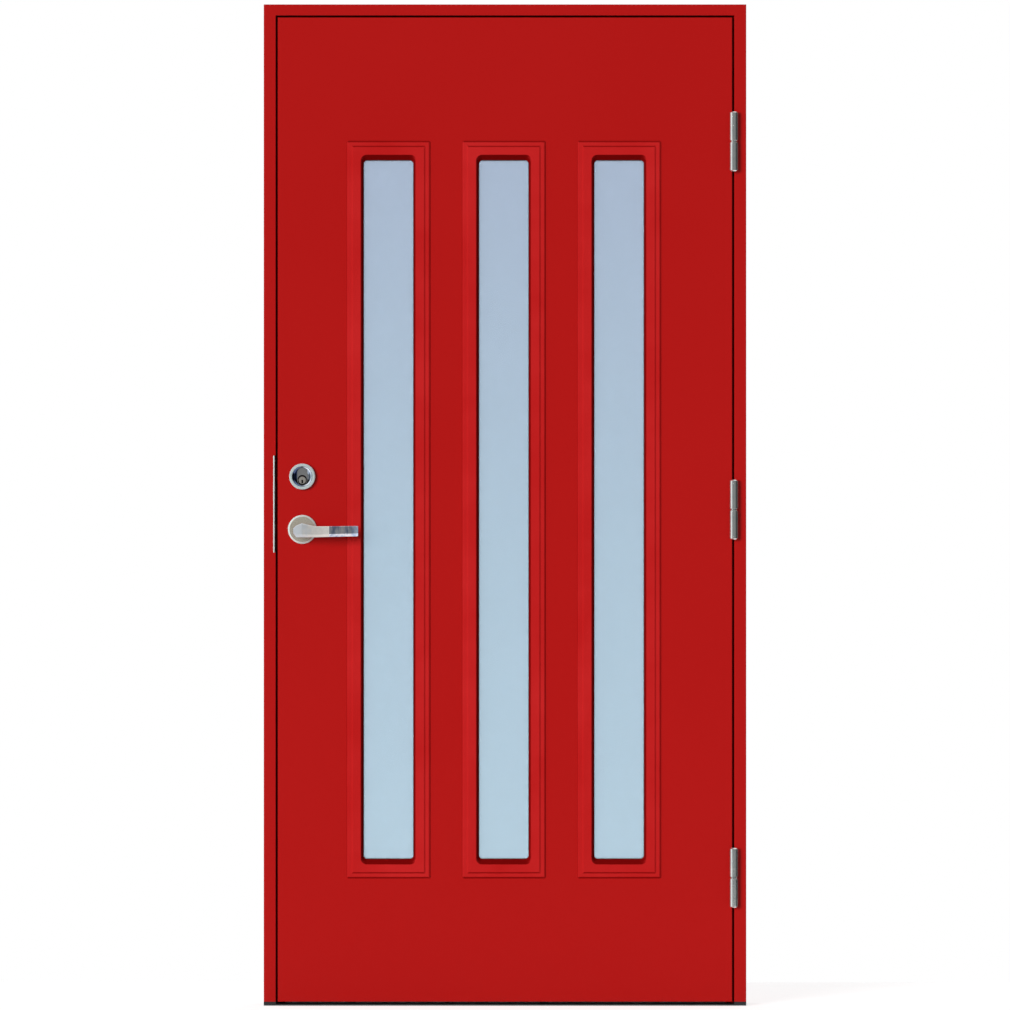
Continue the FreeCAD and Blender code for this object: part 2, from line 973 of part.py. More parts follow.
def pieces():
    """Every piece of the door set by name."""
    made = {
        "head": head(),
        "lock_jamb": lock_jamb(),
        "hinge_jamb": hinge_jamb(),
        "head_stop": head_stop(),
        "side_stops": side_stops(),
        "jamb_shoes": jamb_shoes(),
        "sill_plate": sill_plate(),
        "threshold": threshold(),
        "threshold_rail": threshold_rail(),
        "weather_seal": weather_seal(),
        "strike_plate": strike_plate(),
        "leaf_outer_skin": leaf_outer_skin(),
        "leaf_inner_skin": leaf_inner_skin(),
        "leaf_lock_stile": leaf_lock_stile(),
        "leaf_hinge_stile": leaf_hinge_stile(),
        "leaf_rails": leaf_rails(),
        "leaf_core": leaf_core(),
        "glazing_spacers": glazing_spacers(),
        "mortise_lock": mortise_lock(),
        "lock_bolts": lock_bolts(),
        "outside_rose": outside_rose(),
        "inside_rose": inside_rose(),
        "outside_lever": outside_lever(),
        "inside_lever": inside_lever(),
        "spindle": spindle(),
        "cylinder_ring": cylinder_ring(),
        "lock_barrel": lock_barrel(),
        "key_plug": key_plug(),
        "turn_rose": turn_rose(),
        "thumb_turn": thumb_turn(),
    }
    for side, x in zip(window_sides, window_centres()):
        made[f"{side}_outer_moulding"] = outer_moulding(x)
        made[f"{side}_inner_moulding"] = inner_moulding(x)
        made[f"{side}_glass"] = glass(x)
    for place, height in hinge_levels.items():
        made[f"{place}_hinge_leaf_half"] = hinge_half(-1, height)
        made[f"{place}_hinge_frame_half"] = hinge_half(1, height)
    return made


os.makedirs("parts", exist_ok=True)
for name, shape in pieces().items():
    # Every function above has the frame's outer face at y = 0
    shape.translate(V(0, -frame_depth / 2, 0))
    shape.exportStep(f"parts/{name}.step")
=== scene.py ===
import math

import bmesh
import bpy
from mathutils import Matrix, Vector


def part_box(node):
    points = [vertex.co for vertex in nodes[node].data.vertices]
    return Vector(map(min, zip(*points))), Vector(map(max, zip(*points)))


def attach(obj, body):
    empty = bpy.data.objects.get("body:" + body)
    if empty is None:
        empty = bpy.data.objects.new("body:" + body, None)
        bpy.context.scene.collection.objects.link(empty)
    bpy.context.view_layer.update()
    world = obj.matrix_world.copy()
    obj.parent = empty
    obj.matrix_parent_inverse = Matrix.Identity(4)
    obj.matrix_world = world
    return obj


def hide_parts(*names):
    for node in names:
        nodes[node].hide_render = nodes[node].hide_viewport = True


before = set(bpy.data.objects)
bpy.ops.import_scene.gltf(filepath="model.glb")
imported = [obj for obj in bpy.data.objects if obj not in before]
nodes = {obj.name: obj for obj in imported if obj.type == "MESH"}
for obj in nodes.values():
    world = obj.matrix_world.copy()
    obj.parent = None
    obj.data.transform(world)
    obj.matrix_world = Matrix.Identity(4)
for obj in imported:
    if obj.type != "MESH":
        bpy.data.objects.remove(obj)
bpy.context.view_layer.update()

# The view, fitted to the photograph. Its width is that at the frame's outer face.
view_width = 2.0932
view_height = 1.0375
view_lens = 300.0
view_sensor = 36.0

# The studio. The key, fill, room and glow levels are shares of plain white. A turn or horizon is where
# a level changes, as one part of a unit vector.
key_from = Vector((-0.46, -0.885, 0.16))
key_level = 0.72
key_spread = math.radians(26)
fill_level = 0.38
fill_behind = 1.0
fill_above = 0.2
fill_turn = (-0.1, 0.4)
room_left = 1.0
room_front = 0.24
room_right = 0.04
room_turn = (0.55, 0.92)
room_horizon = (0.30, 0.75)
floor_glow = 0.70
floor_shade = 0.85
floor_reach = 2.2
floor_behind = 0.8
floor_drop = 0.0005

# Measures that the frame gives
outer_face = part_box("head")[0].y
leaf_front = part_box("leaf_outer_skin")[0].y
leaf_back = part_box("leaf_inner_skin")[1].y
leaf_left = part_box("leaf_outer_skin")[0].x
leaf_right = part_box("leaf_outer_skin")[1].x
jamb_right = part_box("hinge_jamb")[0].x
leaf_middle = (leaf_front + leaf_back) / 2


def middle_of(node):
    """The middle of a node's box."""
    low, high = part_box(node)
    return (low + high) / 2


def half_width(node):
    """Half of a node's size along X."""
    low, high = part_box(node)
    return (high.x - low.x) / 2


spindle = middle_of("spindle")


def linear(red, green, blue):
    """A colour as it is seen, 0 to 255 each, in the linear values that shaders take."""
    def channel(value):
        value = value / 255
        return value / 12.92 if value <= 0.04045 else ((value + 0.055) / 1.055) ** 2.4
    return (channel(red), channel(green), channel(blue), 1.0)


# Node helpers
class Tree:
    """A node tree with short ways to add and join its nodes."""

    def __init__(self, tree):
        self.tree = tree

    def node(self, kind, **inputs):
        made = self.tree.nodes.new(kind)
        for name, value in inputs.items():
            made.inputs[name.replace("_", " ")].default_value = value
        return made

    def link(self, source, target):
        self.tree.links.new(source, target)

    def feed(self, target, value):
        if isinstance(value, bpy.types.NodeSocket):
            self.link(value, target)
        else:
            target.default_value = value

    def operate(self, kind, operation, *values):
        made = self.tree.nodes.new(kind)
        made.operation = operation
        for target, value in zip(made.inputs, values):
            self.feed(target, value)
        return made

    def math(self, operation, *values):
        return self.operate("ShaderNodeMath", operation, *values).outputs[0]

    def vector(self, operation, *values):
        return self.operate("ShaderNodeVectorMath", operation, *values).outputs["Vector"]

    def measure(self, operation, *values):
        """A vector operation whose result is one number."""
        return self.operate("ShaderNodeVectorMath", operation, *values).outputs["Value"]

    def spread(self, source, low, high, start=0.0, end=1.0, smooth=False):
        """low to high while the source goes from start to end."""
        ranged = self.node("ShaderNodeMapRange", From_Min=start, From_Max=end, To_Min=low, To_Max=high)
        if smooth:
            ranged.interpolation_type = "SMOOTHSTEP"
        self.link(source, ranged.inputs["Value"])
        return ranged.outputs["Result"]


class Finish(Tree):
    """One material, with its shader and the few nodes that its surface needs."""

    def __init__(self, name, **sockets):
        self.material = bpy.data.materials.new(name)
        self.material.use_nodes = True
        super().__init__(self.material.node_tree)
        self.shader = self.tree.nodes["Principled BSDF"]
        self.place = self.tree.nodes.new("ShaderNodeTexCoord").outputs["Object"]
        for socket, value in sockets.items():
            self.shader.inputs[socket.replace("_", " ")].default_value = value

    def stretched(self, stretch):
        mapping = self.node("ShaderNodeMapping", Scale=stretch)
        self.link(self.place, mapping.inputs["Vector"])
        return mapping.outputs["Vector"]

    def noise(self, scale, detail=3.0, stretch=None):
        texture = self.node("ShaderNodeTexNoise", Scale=scale, Detail=detail)
        self.link(self.stretched(stretch) if stretch else self.place, texture.inputs["Vector"])
        return texture.outputs["Fac"]

    def along(self, axis, low, high):
        """0 to 1 between two places along one axis."""
        parts = self.node("ShaderNodeSeparateXYZ")
        self.link(self.place, parts.inputs["Vector"])
        return self.spread(parts.outputs[axis], 0.0, 1.0, low, high)

    def towards_rim(self, node, rim):
        """0 on the face of a part turned round Y, and 1 on its rim, which is this wide."""
        offset = self.vector("SUBTRACT", self.place, middle_of(node))
        radius = self.measure("LENGTH", self.vector("MULTIPLY", offset, (1, 0, 1)))
        edge = half_width(node) - rim
        return self.spread(radius, 0.0, 1.0, edge - rim_blend, edge + rim_blend)

    def ramp(self, source, *stops):
        """A colour that goes through the stops, each a place from 0 to 1 and its colour."""
        ramp = self.node("ShaderNodeValToRGB")
        elements = ramp.color_ramp.elements
        elements[0].position, elements[0].color = stops[0]
        elements[1].position, elements[1].color = stops[-1]
        for position, colour in stops[1:-1]:
            elements.new(position).color = colour
        self.link(source, ramp.inputs["Fac"])
        return ramp.outputs["Color"]

    def blended(self, share, first, second):
        """The first colour where share is 0, the second where it is 1."""
        mix = self.tree.nodes.new("ShaderNodeMix")
        mix.data_type = "RGBA"
        self.link(share, mix.inputs["Factor"])
        for socket, value in zip([s for s in mix.inputs if s.type == "RGBA"], (first, second)):
            self.feed(socket, value)
        return [s for s in mix.outputs if s.type == "RGBA"][0]

    def colour(self, source):
        self.link(source, self.shader.inputs["Base Color"])

    def roughness(self, source):
        self.link(source, self.shader.inputs["Roughness"])

    def purity(self, source):
        self.link(source, self.shader.inputs["Metallic"])

    def relief(self, source, depth, strength=1.0):
        bump = self.node("ShaderNodeBump", Strength=strength, Distance=depth)
        self.link(source, bump.inputs["Height"])
        self.link(bump.outputs["Normal"], self.shader.inputs["Normal"])


# Where the lever's outline turns, from the spindle's axis, and the length of its tip with the painted pale
# highlight
lever_nose = 0.018
lever_heel = 0.012
lever_shoulder = 0.027
lever_crease = 0.056
lever_reach = 0.1166
lever_tip = 0.016

# How far behind a moulding's front the painted shade in its reveals starts and becomes full, and how far a
# step
# # has to face up or down for its painted shade to start and to be full
reveal_shade_start = 0.0035
reveal_shade_end = 0.0068
shaded_step_tilt = (0.3, 0.8)

# The painted shade on the strike plate's front edge, a dark line beside the gap: its width, and how softly
# it starts
strike_shade = 0.0010
strike_blend = 0.0003

# The pale rims of the turned parts, a satin finish that is partly a painted highlight, from the outside
# inwards, and how
# # softly they start
ring_rim = 0.0058
rose_rim = 0.0035
rim_blend = 0.0002

# The reds, in linear values: leaf and frame, mouldings, and the painted shade in the reveals and on the
# steps
leaf_red = (0.428, 0.0050, 0.0044, 1)
leaf_red_light = (0.440, 0.0058, 0.0050, 1)
moulding_red = (0.480, 0.0120, 0.0120, 1)
moulding_red_light = (0.540, 0.0180, 0.0184, 1)
painted_shade_red = (0.240, 0.0030, 0.0030, 1)


# Finishes
def paint(name):
    """Red paint: a slow drift of colour, a broken sheen and the fine skin that spraying leaves."""
    finish = Finish(name, Specular_IOR_Level=0.18)
    drift = finish.noise(2.3, 2.0)
    finish.colour(finish.ramp(drift, (0.3, leaf_red), (0.7, leaf_red_light)))
    finish.roughness(finish.spread(finish.noise(60.0, 4.0), 0.37, 0.49))
    finish.relief(finish.noise(700.0, 2.0), 0.00003, 0.5)
    return finish.material


def moulding_paint(name):
    """The same red a little paler, with painted shade: a deeper red in the window reveals and on steps that
    face up or down.
    """
    finish = Finish(name, Specular_IOR_Level=0.0)
    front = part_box("middle_outer_moulding")[0].y
    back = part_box("middle_inner_moulding")[1].y
    drift = finish.noise(9.0, 3.0)
    pale = finish.ramp(drift, (0.3, moulding_red), (0.7, moulding_red_light))
    # Painted shade: the red deepens behind the moulding's front, down in the reveals
    near_front = finish.along("Y", front + reveal_shade_start, front + reveal_shade_end)
    near_back = finish.along("Y", back - reveal_shade_start, back - reveal_shade_end)
    depth = finish.math("MULTIPLY", near_front, near_back)
    # Painted shade on the steps that face up or down
    facing = finish.node("ShaderNodeSeparateXYZ")
    finish.link(finish.node("ShaderNodeTexCoord").outputs["Normal"], facing.inputs["Vector"])
    level = finish.spread(finish.math("ABSOLUTE", facing.outputs["Z"]), 0.0, 1.0, *shaded_step_tilt)
    finish.colour(finish.blended(finish.math("MAXIMUM", depth, level), pale, painted_shade_red))
    finish.roughness(finish.spread(finish.noise(60.0, 4.0), 0.45, 0.57))
    finish.relief(finish.noise(1100.0, 2.0), 0.00009, 0.5)
    return finish.material


def metal(name, dark, light, gloss, stretch, scale=900.0, depth=0.00002, purity=1.0):
    """Metal with a fine direction in it: the brushing runs along the axis with the smallest stretch."""
    finish = Finish(name, Metallic=purity)
    lines = finish.noise(scale, 3.0, stretch)
    finish.colour(finish.ramp(finish.noise(40.0, 3.0), (0.25, dark), (0.75, light)))
    finish.roughness(finish.spread(lines, gloss * 0.75, gloss * 1.25))
    finish.relief(lines, depth, 0.4)
    return finish.material


def rose_metal(node):
    """A rose with a beige satin face inside a bright rim, whose paleness is partly a painted highlight."""
    finish = Finish(f"{node}_chrome")
    share = finish.towards_rim(node, rose_rim)
    mottle = finish.noise(420.0, 4.0)
    face = finish.ramp(mottle, (0.35, linear(208, 202, 184)), (0.65, linear(240, 234, 217)))
    # The rim's pale, cool colour is partly a painted highlight on its rounded edge
    rim = finish.ramp(mottle, (0.35, linear(216, 240, 237)), (0.65, linear(234, 254, 250)))
    finish.colour(finish.blended(share, face, rim))
    finish.roughness(finish.spread(share, 0.27, 0.30))
    finish.purity(finish.spread(share, 0.72, 0.1))
    finish.relief(finish.noise(1400.0, 3.0), 0.00002, 0.3)
    return finish.material


def plug_metal(name):
    """The key plug: bright on its face, with painted shade, dull and dark, inside the keyway and down its
    sides.
    """
    finish = Finish(name)
    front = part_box("key_plug")[0].y
    # Painted shade: dark from just behind the plug's face
    depth = finish.along("Y", front + plug_bevel * 0.15, front + plug_bevel * 0.8)
    grain = finish.noise(700.0, 3.0)
    face = finish.ramp(grain, (0.3, linear(168, 164, 156)), (0.7, linear(206, 202, 194)))
    finish.colour(finish.blended(depth, face, linear(14, 12, 11)))
    finish.roughness(finish.spread(depth, 0.28, 0.7))
    finish.purity(finish.spread(depth, 0.7, 0.1))
    finish.relief(grain, 0.00002, 0.3)
    return finish.material


def strike_steel(name):
    """Satin steel whose front edge is bright, with painted shade: a dark line along the side towards the
    leaf.
    """
    finish = Finish(name, Metallic=0.2)
    low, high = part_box("strike_plate")
    # Painted shade along the part of the front edge next to the gap
    aside = finish.along("X", high.x - strike_shade - strike_blend, high.x - strike_shade)
    behind = finish.along("Y", low.y + strike_blend, low.y + 2 * strike_blend)
    shade = finish.math("MULTIPLY", aside, finish.math("SUBTRACT", 1.0, behind))
    lines = finish.noise(900.0, 3.0, (1, 1, 0.03))
    steel = finish.ramp(lines, (0.3, linear(224, 236, 233)), (0.7, linear(236, 247, 244)))
    finish.colour(finish.blended(shade, steel, linear(20, 18, 18)))
    finish.roughness(finish.spread(lines, 0.28, 0.42))
    return finish.material


def glass(name):
    """Satin double glazing: one pale tone with a painted gradient of light that grows lighter slowly
    downwards.
    """
    finish = Finish(name, Specular_IOR_Level=0.4, Transmission_Weight=0.95, IOR=1.45)
    low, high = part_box("middle_glass")
    # Painted light: the tone grows lighter towards the bottom of the pane
    height = finish.along("Z", low.z, high.z)
    finish.colour(finish.ramp(
        height,
        (0.0, linear(219, 234, 243)),
        (0.45, linear(215, 229, 239)),
        (1.0, linear(210, 220, 233)),
    ))
    finish.roughness(finish.spread(finish.noise(500.0, 4.0), 0.20, 0.26))
    finish.relief(finish.noise(1600.0, 1.0), 0.00001, 0.15)
    return finish.material


def wood(name):
    """Oiled hardwood with its grain along X."""
    finish = Finish(name, Specular_IOR_Level=0.35)
    grain = finish.noise(90.0, 6.0, (0.06, 1.0, 1.0))
    finish.colour(finish.ramp(
        grain,
        (0.32, linear(92, 56, 33)),
        (0.52, linear(138, 90, 55)),
        (0.7, linear(164, 113, 72)),
    ))
    finish.roughness(finish.spread(grain, 0.62, 0.42))
    finish.relief(grain, 0.0002, 0.5)
    return finish.material


def dull(name, dark, light, scale, depth, gloss):
    """Rubber, plastic and foam, and the painted shade in the lock's bore: fine grain and a soft sheen."""
    finish = Finish(name, Specular_IOR_Level=0.3)
    grain = finish.noise(scale, 4.0)
    finish.colour(finish.ramp(grain, (0.3, dark), (0.7, light)))
    finish.roughness(finish.spread(grain, gloss - 0.08, gloss + 0.08))
    finish.relief(grain, depth, 0.6)
    return finish.material


def satin_lever(name):
    """Brushed metal with painted light along it: a cool painted reflection at the nose, a neutral middle
    and a painted highlight at the crease.
    """
    finish = Finish(name, Metallic=0.55)
    # Painted reflection and highlight along the lever, from the nose to the crease
    run = finish.along("X", spindle.x - lever_nose, spindle.x + lever_crease)
    mottle = finish.noise(170.0, 4.0)
    place = finish.math("ADD", run, finish.spread(mottle, -0.16, 0.16, 0.3, 0.7))
    finish.colour(finish.ramp(
        place,
        (0.0, linear(196, 204, 212)),
        (0.3, linear(196, 200, 203)),
        (0.55, linear(210, 208, 203)),
        (1.0, linear(226, 224, 218)),
    ))
    finish.roughness(finish.spread(finish.noise(400.0, 1.0, (0.1, 1, 1)), 0.26, 0.34))
    return finish.material


def mirror_lever(name):
    """Polished metal with a painted reflection, broken and clouded, that ends in a painted pale blue
    highlight at the tip.
    """
    finish = Finish(name, Metallic=1.0)
    tip = finish.along("X", spindle.x + lever_reach - lever_tip, spindle.x + lever_reach)
    painted_reflection_clouds = finish.noise(150.0, 2.0, (1.0, 1.0, 0.3))
    # Painted reflection: dark and light clouds in the colour
    body = finish.ramp(painted_reflection_clouds, (0.32, linear(150, 164, 194)), (0.5, linear(206, 213, 228)),
                       (0.68, linear(238, 238, 243)))
    # Painted highlight at the tip, pale and blue
    pale = finish.ramp(painted_reflection_clouds, (0.32, linear(196, 222, 255)), (0.68, linear(244, 249, 255)))
    finish.purity(finish.spread(tip, 1.0, 0.75))
    finish.colour(finish.blended(tip, body, pale))
    finish.roughness(finish.spread(painted_reflection_clouds, 0.08, 0.2))
    return finish.material


def cup_ring(name):
    """The lock's ring: a pale satin rim, partly a painted highlight, round a polished cup whose colour is
    painted light: dark shade at its left and a bright highlight at its right.
    """
    finish = Finish(name)
    low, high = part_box("cylinder_ring")
    share = finish.towards_rim("cylinder_ring", ring_rim)
    mottle = finish.noise(420.0, 4.0)
    # Painted light across the cup: shade at the left, a highlight towards the right
    across = finish.math("ADD", finish.along("X", low.x + ring_rim, high.x - ring_rim),
                         finish.spread(mottle, -0.03, 0.03, 0.3, 0.7))
    painted_light_cup = finish.ramp(
        across,
        (0.0, linear(64, 76, 112)),
        (0.22, linear(88, 104, 140)),
        (0.5, linear(112, 118, 134)),
        (0.78, linear(236, 242, 252)),
        (0.92, linear(196, 210, 226)),
        (1.0, linear(96, 102, 108)),
    )
    # The rim's pale colour is partly a painted highlight
    rim = finish.ramp(mottle, (0.35, linear(190, 207, 209)), (0.65, linear(208, 221, 221)))
    finish.colour(finish.blended(share, painted_light_cup, rim))
    finish.roughness(finish.spread(share, 0.12, 0.3))
    finish.purity(finish.spread(share, 1.0, 0.3))
    finish.relief(finish.noise(1400.0, 3.0), 0.00002, 0.3)
    return finish.material


finishes = {
    "red_paint": paint("red_paint"),
    "moulding_paint": moulding_paint("moulding_paint"),
    "black_plastic": dull("black_plastic", linear(34, 34, 34), linear(46, 46, 47), 800.0, 0.00005, 0.6),
    "sill": metal("sill", linear(52, 52, 53), linear(66, 66, 68), 0.45, (0.05, 1, 1), purity=0.5),
    "oiled_hardwood": wood("oiled_hardwood"),
    "rail_metal": metal("rail_metal", linear(190, 190, 192), linear(210, 210, 211), 0.34, (0.02, 1, 1)),
    "seal_rubber": dull("seal_rubber", linear(16, 16, 17), linear(30, 30, 31), 1200.0, 0.00006, 0.7),
    "insulation": dull("insulation", linear(214, 210, 190), linear(232, 229, 212), 500.0, 0.0003, 0.9),
    "satin_glass": glass("satin_glass"),
    "spacer_metal": metal("spacer_metal", linear(120, 122, 124), linear(150, 152, 154), 0.4,
                          (1, 1, 0.05)),
    "hinge_steel": metal("hinge_steel", linear(206, 215, 215), linear(232, 236, 234), 0.16, (1, 1, 0.04),
                         purity=0.95),
    "lock_steel": metal("lock_steel", linear(226, 232, 230), linear(238, 243, 241), 0.35, (1, 1, 0.03),
                        purity=0.2),
    "satin_chrome": metal("satin_chrome", linear(212, 211, 206), linear(226, 225, 221), 0.30,
                          (0.05, 1, 1), purity=0.4),
    "polished_chrome": metal("polished_chrome", linear(200, 202, 204), linear(228, 229, 230), 0.16,
                             (1, 1, 0.1), 700.0, 0.00003),
}
brushed_lever = satin_lever("brushed_lever")
polished_lever = mirror_lever("polished_lever")
# Near-black painted shade for the lock's bore
bore_shade = dull("bore_shade", linear(5, 5, 6), linear(9, 9, 10), 800.0, 0.00002, 0.8)


def finish_nodes():
    """Gives every node the finish of its slot, and the lock's turned parts and the strike their own."""
    for node in nodes.values():
        for slot in node.material_slots:
            slot.material = finishes[slot.material.name.split(".")[0]]
    nodes["cylinder_ring"].material_slots[0].material = cup_ring("ring_chrome")
    nodes["strike_plate"].material_slots[0].material = strike_steel("strike_steel")
    for name in ("outside_rose", "inside_rose", "turn_rose"):
        nodes[name].material_slots[0].material = rose_metal(name)


# Meshes
def mesh_object(name, bm, materials):
    """An object from a mesh in progress, with smooth faces that all look outwards."""
    mesh = bpy.data.meshes.new(name)
    bmesh.ops.recalc_face_normals(bm, faces=bm.faces[:])
    bm.to_mesh(mesh)
    bm.free()
    for material in materials:
        mesh.materials.append(material)
    mesh.polygons.foreach_set("use_smooth", [True] * len(mesh.polygons))
    made = bpy.data.objects.new(name, mesh)
    bpy.context.scene.collection.objects.link(made)
    return made


def soften(piece, width, segments, angle):
    """Rounds a piece's edges, as polishing leaves them."""
    bevel = piece.modifiers.new("soft edges", "BEVEL")
    bevel.width = width
    bevel.segments = segments
    bevel.limit_method = "ANGLE"
    bevel.angle_limit = math.radians(angle)
    bevel.harden_normals = True


def skin(bm, rings):
    """Faces between rings of equal length, with the end rings filled."""
    rows = [[bm.verts.new(point) for point in ring] for ring in rings]
    count = len(rows[0])
    for near_row, far_row in zip(rows, rows[1:]):
        for i in range(count):
            j = (i + 1) % count
            bm.faces.new((near_row[i], near_row[j], far_row[j], far_row[i]))
    bm.faces.new(rows[0])
    bm.faces.new(rows[-1])


def round_angles(steps):
    """The angles of that many equal steps once round."""
    return [2 * math.pi * i / steps for i in range(steps)]


def circle(radius, depth, steps, centre):
    """A ring of points round Y. The radius is a number, or gives one for each angle."""
    radius_at = radius if callable(radius) else lambda angle: radius
    return [
        Vector((
            centre.x + radius_at(angle) * math.cos(angle),
            depth,
            centre.z + radius_at(angle) * math.sin(angle),
        ))
        for angle in round_angles(steps)
    ]


# Lever handles. Drops and rises are heights below and above the spindle's axis.
lever_stand_off = 0.060
lever_setback = 0.013
lever_thickness = 0.012
lever_back_bevel = 0.0012
lever_drop = 0.0164
crown_rise = 0.0130
grip_rise = 0.0066
heel_rise = 0.0077
nose_drop = 0.0080
nose_rise = 0.0025
nose_slope = 0.25
crease_drop = 0.0155
tip_drop = 0.01435
tip_rise = 0.0073
tip_end_drop = 0.0131
tip_end_rise = 0.0061
tip_corner = 0.0018
upper_bevel = 0.0016
upper_bevel_depth = 0.0012
crease_step = 0.0006
crease_width = 0.0008
tip_bevel = 0.0005
lower_bevel = 0.0058
lower_bevel_depth = 0.004
grip_edge = 0.0004
neck_edge = 0.0003
neck_radius = 0.0095
neck_flare = 0.002
neck_flare_start = 0.028
neck_flare_bend = 0.034
neck_flare_knee = 0.0375
neck_steps = 48


def lever_front(x):
    """How far the lever's front stands out at x: steep at the nose, then gentle up to the crease."""
    slope = lever_setback / (lever_crease + lever_nose)
    step = 0 if x > lever_crease else crease_step
    return lever_stand_off - step - max(lever_crease - x, 0) * slope - max(-x, 0) * nose_slope


def lever_ring(x, low, high, side):
    """The lever's bevelled section at x. side is -1 outside and 1 inside."""
    face = leaf_front if side < 0 else leaf_back
    front = lever_front(x)
    back = front - lever_thickness
    upper, upper_depth = (upper_bevel, upper_bevel_depth) if x <= lever_crease else (tip_bevel, tip_bevel)
    shape = [
        (back, low + lever_back_bevel),
        (back + lever_back_bevel, low),
        (front - lower_bevel_depth, low),
        (front, low + lower_bevel),
        (front, high - upper),
        (front - upper_depth, high),
        (back + lever_back_bevel, high),
        (back, high - lever_back_bevel),
    ]
    return [Vector((spindle.x + x, face + side * out, spindle.z + z)) for out, z in shape]


def lever(name, side):
    """One lever: satin from its nose to the crease, polished from there to the tip."""
    stations = [
        (-lever_nose, -nose_drop, nose_rise),
        (-lever_heel, -lever_drop, heel_rise),
        (0.0, -lever_drop, crown_rise),
        (lever_shoulder, -lever_drop, grip_rise),
        (lever_crease, -crease_drop, grip_rise),
        (lever_crease + crease_width, -crease_drop, grip_rise),
        (lever_reach - tip_corner, -tip_drop, tip_rise),
        (lever_reach, -tip_end_drop, tip_end_rise),
    ]
    bm = bmesh.new()
    skin(bm, [lever_ring(x, low, high, side) for x, low, high in stations])
    for face in bm.faces:
        middle = face.calc_center_median().x - spindle.x
        face.material_index = 1 if middle > lever_crease + crease_width else 0
    made = mesh_object(name, bm, [brushed_lever, polished_lever])
    soften(made, grip_edge, 2, 8)
    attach(made, "lever_handle")
    return made


def lever_neck(name, side):
    """The round neck that comes out of the rose and runs into the lever with a small flare."""
    face = leaf_front if side < 0 else leaf_back
    end = lever_stand_off - lever_setback - lever_thickness / 2
    profile = [
        (0.0, neck_radius),
        (neck_flare_start, neck_radius),
        (neck_flare_bend, neck_radius + neck_flare * 0.2),
        (neck_flare_knee, neck_radius + neck_flare * 0.6),
        (end, neck_radius + neck_flare),
    ]
    bm = bmesh.new()
    skin(bm, [circle(radius, face + side * out, neck_steps, spindle) for out, radius in profile])
    made = mesh_object(name, bm, [finishes["satin_chrome"]])
    soften(made, neck_edge, 2, 60)
    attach(made, "lever_handle")
    return made


def levers():
    """Both levers, each a grip and a neck in place of one node."""
    outside = [lever("outside_lever_grip", -1), lever_neck("outside_lever_neck", -1)]
    inside = [lever("inside_lever_grip", 1), lever_neck("inside_lever_neck", 1)]
    for piece in outside:
        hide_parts("outside_lever")
    for piece in inside:
        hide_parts("inside_lever")


# Key plug and barrel
plug_bevel = 0.0010
plug_steps = 96
keyway_half_width = 0.0017
keyway_rise = 0.0010
keyway_drop = 0.0062
keyway_depth = 0.024
barrel_edge = 0.0004
bore_chamfer_above = 0.0030
bore_chamfer_below = 0.0021
bore_chamfer_beside = 0.0008
bore_clearance = 0.0001
almost_nothing = 1e-6


def keyway_outline(angle):
    """The upright keyway, which starts a little above the plug's axis and runs down to its rim."""
    across = keyway_half_width / max(abs(math.cos(angle)), almost_nothing)
    end = keyway_rise if math.sin(angle) > 0 else keyway_drop
    return min(across, end / max(abs(math.sin(angle)), almost_nothing))


def turning_plug():
    """The key plug with a bevelled rim, whose painted shade draws a dark line in the barrel round it."""
    low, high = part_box("key_plug")
    radius = half_width("key_plug")
    profile = [
        (radius, high.y),
        (radius, low.y + plug_bevel),
        (radius - plug_bevel * 0.8, low.y),
        (keyway_outline, low.y),
        (keyway_outline, low.y + keyway_depth),
    ]
    bm = bmesh.new()
    skin(bm, [circle(r, y, plug_steps, middle_of("key_plug")) for r, y in profile])
    made = mesh_object("turning_plug", bm, [plug_metal("key_plug_chrome")])
    made.data.set_sharp_from_angle(angle=math.radians(25))
    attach(made, "key_plug")
    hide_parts("key_plug")


def barrel_outline(angle):
    """The upright oval round the plug's axis, which is the middle of its lower round."""
    low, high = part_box("lock_barrel")
    round_radius = half_width("lock_barrel")
    if math.sin(angle) <= 0:
        return round_radius
    rise = (high.z - low.z) - 2 * round_radius
    beside = round_radius / max(abs(math.cos(angle)), almost_nothing)
    if beside * math.sin(angle) <= rise:
        return beside
    under = round_radius ** 2 - (rise * math.cos(angle)) ** 2
    return rise * math.sin(angle) + math.sqrt(under)


def bore_mouth(angle):
    """The chamfer round the plug: wide above and below it, narrow at its sides."""
    widest = bore_chamfer_above if math.sin(angle) > 0 else bore_chamfer_below
    chamfer = bore_chamfer_beside + (widest - bore_chamfer_beside) * abs(math.sin(angle)) ** 0.7
    return half_width("key_plug") + bore_clearance + chamfer


def barrel():
    """The oval barrel with softened edges, and the chamfered bore that the plug turns in, in near-black
    painted shade.
    """
    front, back = [corner.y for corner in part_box("lock_barrel")]
    plug_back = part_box("key_plug")[1].y
    bore = half_width("key_plug") + bore_clearance
    profile = [
        (barrel_outline, back),
        (barrel_outline, front + barrel_edge),
        (lambda angle: barrel_outline(angle) - barrel_edge, front),
        (bore_mouth, front),
        (bore, front + bore_chamfer_above),
        (bore, plug_back + barrel_edge),
    ]
    bm = bmesh.new()
    skin(bm, [circle(r, y, plug_steps, middle_of("key_plug")) for r, y in profile])
    for face in bm.faces:
        middle = face.calc_center_median()
        off_axis = (Vector((middle.x, 0, middle.z)) - middle_of("key_plug") * Vector((1, 0, 1))).length
        in_bore = off_axis < bore + bore_chamfer_above and middle.y > front + 10 * almost_nothing
        face.material_index = 1 if in_bore else 0
    made = mesh_object("oval_barrel", bm, [finishes["polished_chrome"], bore_shade])
    made.data.set_sharp_from_angle(angle=math.radians(25))
    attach(made, "leaf")
    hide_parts("lock_barrel")


